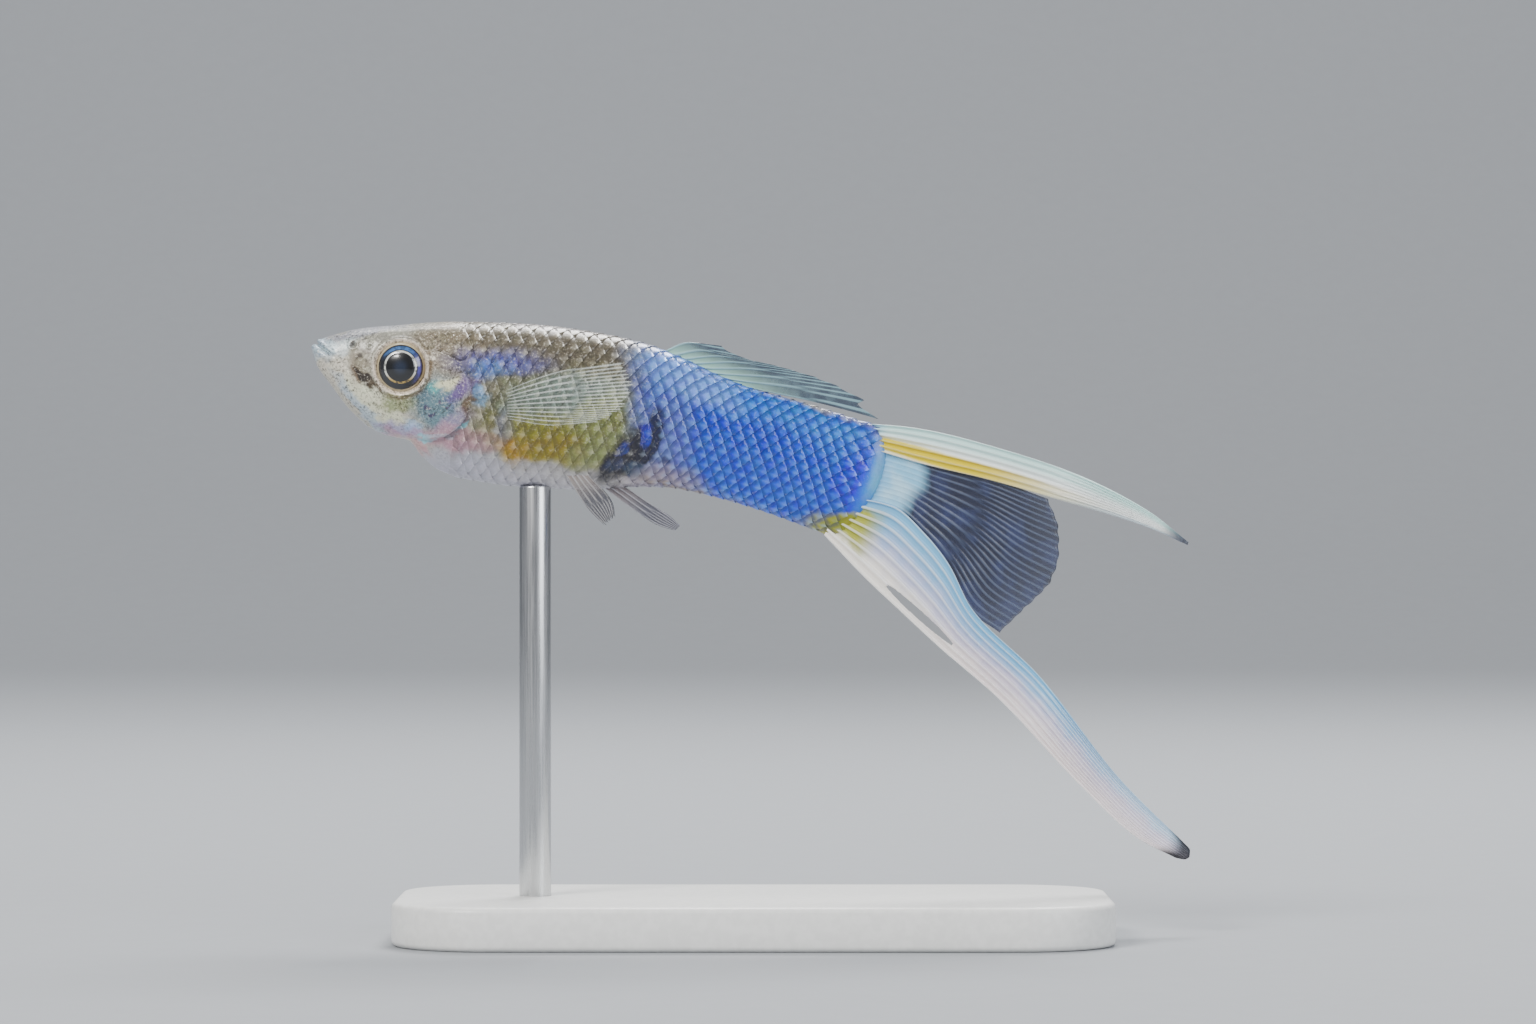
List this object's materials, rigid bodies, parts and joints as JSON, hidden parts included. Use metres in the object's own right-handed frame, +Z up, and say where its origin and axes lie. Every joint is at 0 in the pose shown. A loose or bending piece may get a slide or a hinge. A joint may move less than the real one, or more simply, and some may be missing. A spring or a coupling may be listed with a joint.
{
  "type": "guppy",
  "caption": "Life-size still model of a male double-sword guppy, held over a flat base by a thin steel rod.",
  "frame": {"origin": "centre of the overall box on the plane that the base stands on", "axes": "+X runs from the head to the tail, +Y to the fish's right, +Z up"},
  "size_m": [0.0445, 0.018, 0.0311],
  "materials": {
    "head": "wet satin skin, silvery cream with dark specks",
    "trunk": "wet satin scales, olive and grey",
    "tail_stalk": "wet satin scales, bright blue",
    "eye": "polished",
    "clear_fin": "thin satin membrane with raised rays",
    "dark_fin": "thin satin membrane with raised rays",
    "upper_sword": "satin, white with a yellow streak",
    "lower_sword": "satin, white and pale blue",
    "stand_base": "satin off-white lacquer",
    "stand_rod": "drawn stainless steel"
  },
  "bodies": {
    "root": {"head": "head", "trunk": "trunk", "tail_stalk": "tail_stalk", "eye_left": "eye", "eye_right": "eye", "dorsal_fin": "clear_fin", "pectoral_fin_left": "clear_fin", "pectoral_fin_right": "clear_fin", "pelvic_fin_left": "clear_fin", "pelvic_fin_right": "clear_fin", "gonopodium": "clear_fin", "tail_upper_sword": "upper_sword", "tail_web": "dark_fin", "tail_lower_sword": "lower_sword", "stand_base": "stand_base", "stand_rod": "stand_rod"}
  },
  "joints": []
}
